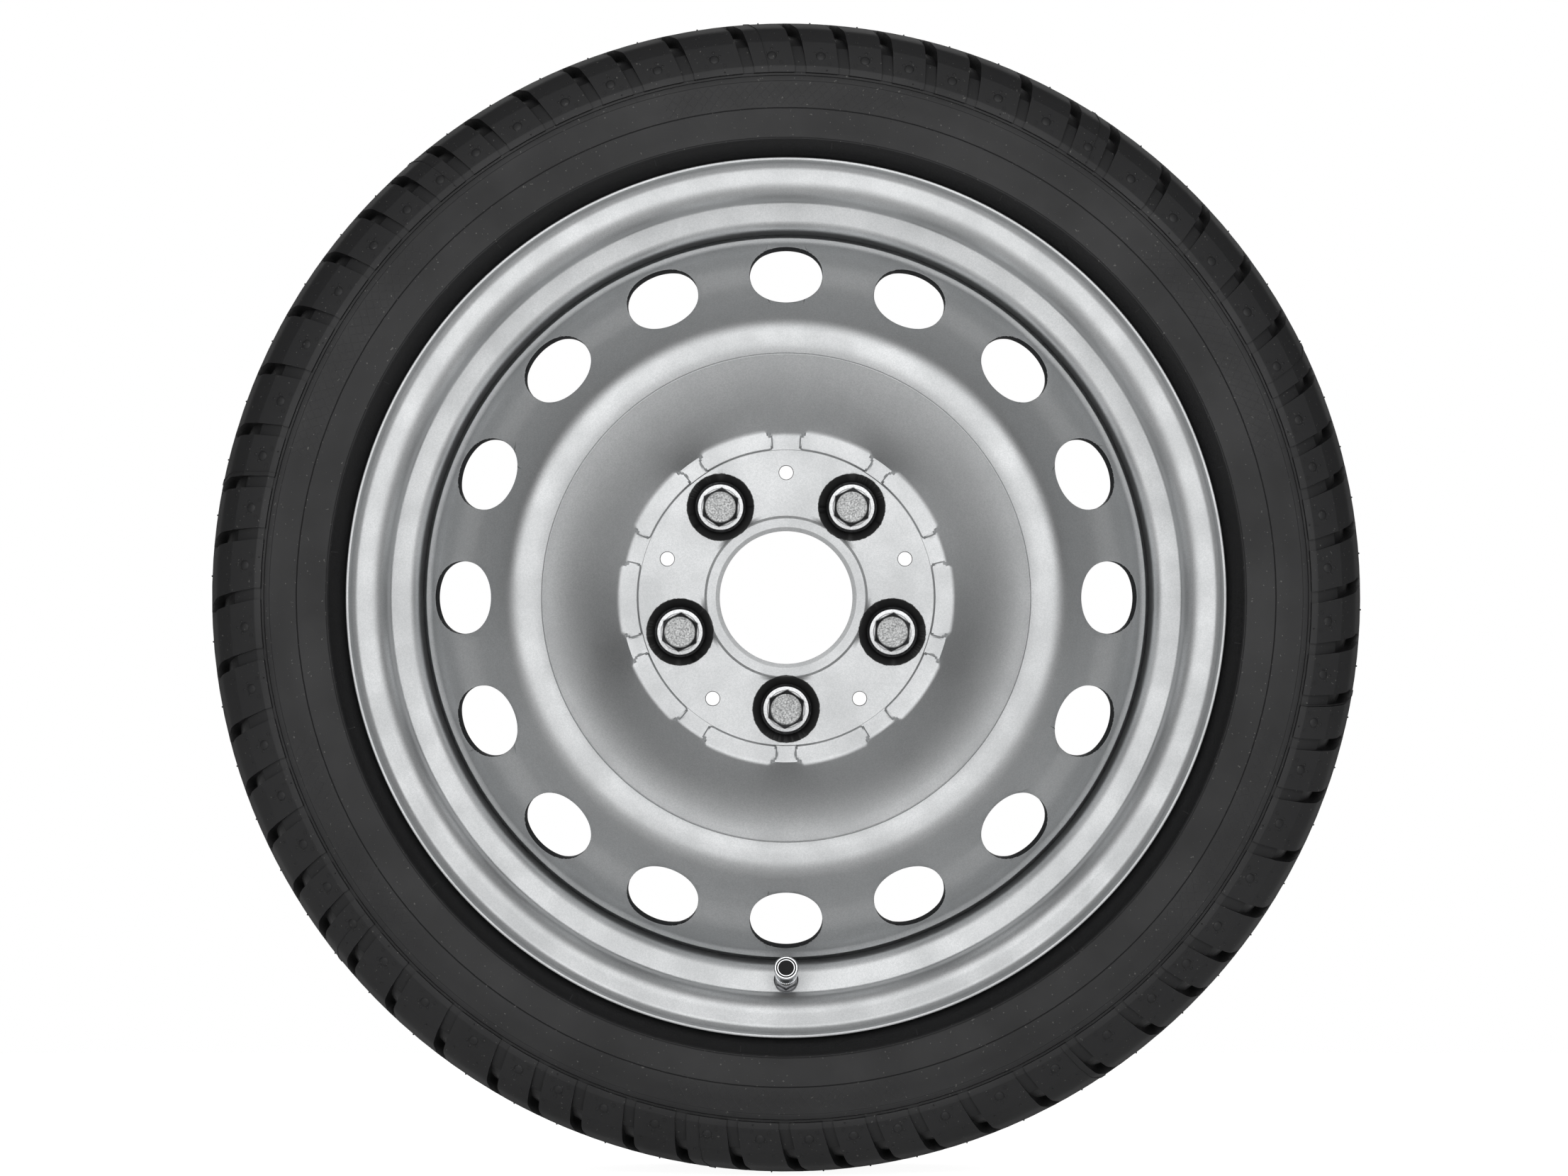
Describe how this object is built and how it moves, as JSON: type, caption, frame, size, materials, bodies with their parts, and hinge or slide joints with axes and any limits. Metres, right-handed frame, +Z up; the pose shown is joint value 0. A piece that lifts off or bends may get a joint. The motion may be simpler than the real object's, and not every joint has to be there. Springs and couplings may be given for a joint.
{
  "type": "steel wheel with tyre",
  "caption": "Pressed steel car wheel with a ring of round vents, a low-profile tyre, ball-seat wheel bolts and a clamp-in tyre valve.",
  "frame": {"origin": "the wheel's centre: on its axis, halfway between the two rim flanges", "axes": "+Y along the wheel's axis towards the car (inboard), -Y towards the street side, +Z up, +X to the right when seen from the street side"},
  "size_m": [0.5799, 0.1948, 0.58],
  "materials": {
    "tyre_rubber": "matte",
    "silver_paint": "satin",
    "weld_metal": "satin",
    "zinc_steel": "satin",
    "plated_brass": "satin",
    "spring_steel": "satin",
    "seal_rubber": "matte",
    "chrome": "polished",
    "black_lacquer": "gloss"
  },
  "bodies": {
    "wheel": {"tyre": "tyre_rubber", "rim": "silver_paint", "wheel_disc": "silver_paint", "weld_seams": "weld_metal", "wheel_bolt_1": "zinc_steel", "wheel_bolt_2": "zinc_steel", "wheel_bolt_3": "zinc_steel", "wheel_bolt_4": "zinc_steel", "wheel_bolt_5": "zinc_steel", "valve_stem": "plated_brass", "valve_grommet": "seal_rubber", "valve_washer": "zinc_steel", "valve_nut": "zinc_steel", "core_housing": "plated_brass", "core_barrel_seal": "seal_rubber", "core_spring": "spring_steel"},
    "core_pin": {"core_pin": "plated_brass", "core_pin_seal": "seal_rubber"},
    "cap_seal": {"cap_seal": "seal_rubber"},
    "cap": {"valve_cap": "chrome", "cap_inlay": "black_lacquer", "cap_ring": "chrome"}
  },
  "joints": [
    {"name": "core_pin_slide", "type": "slide", "parent": "wheel", "child": "core_pin", "axis": [0, 0.9563, -0.2924], "range_m": [0, 0.001], "stiffness_N_per_m": 400, "springref_m": -0.004},
    {"name": "cap_lift", "type": "slide", "parent": "wheel", "child": "cap_seal", "axis": [0, -0.9563, 0.2924], "range_m": [0, 0.004]},
    {"name": "cap_turn", "type": "hinge", "parent": "cap_seal", "child": "cap", "pos_m": [0, -0.06101, -0.1924], "axis": [0, -0.9563, 0.2924], "range_deg": [0, 1800]}
  ],
  "couplings": [
    {"joint": "cap_lift", "follows": "cap_turn", "m_per_rad": 0.00012637}
  ]
}
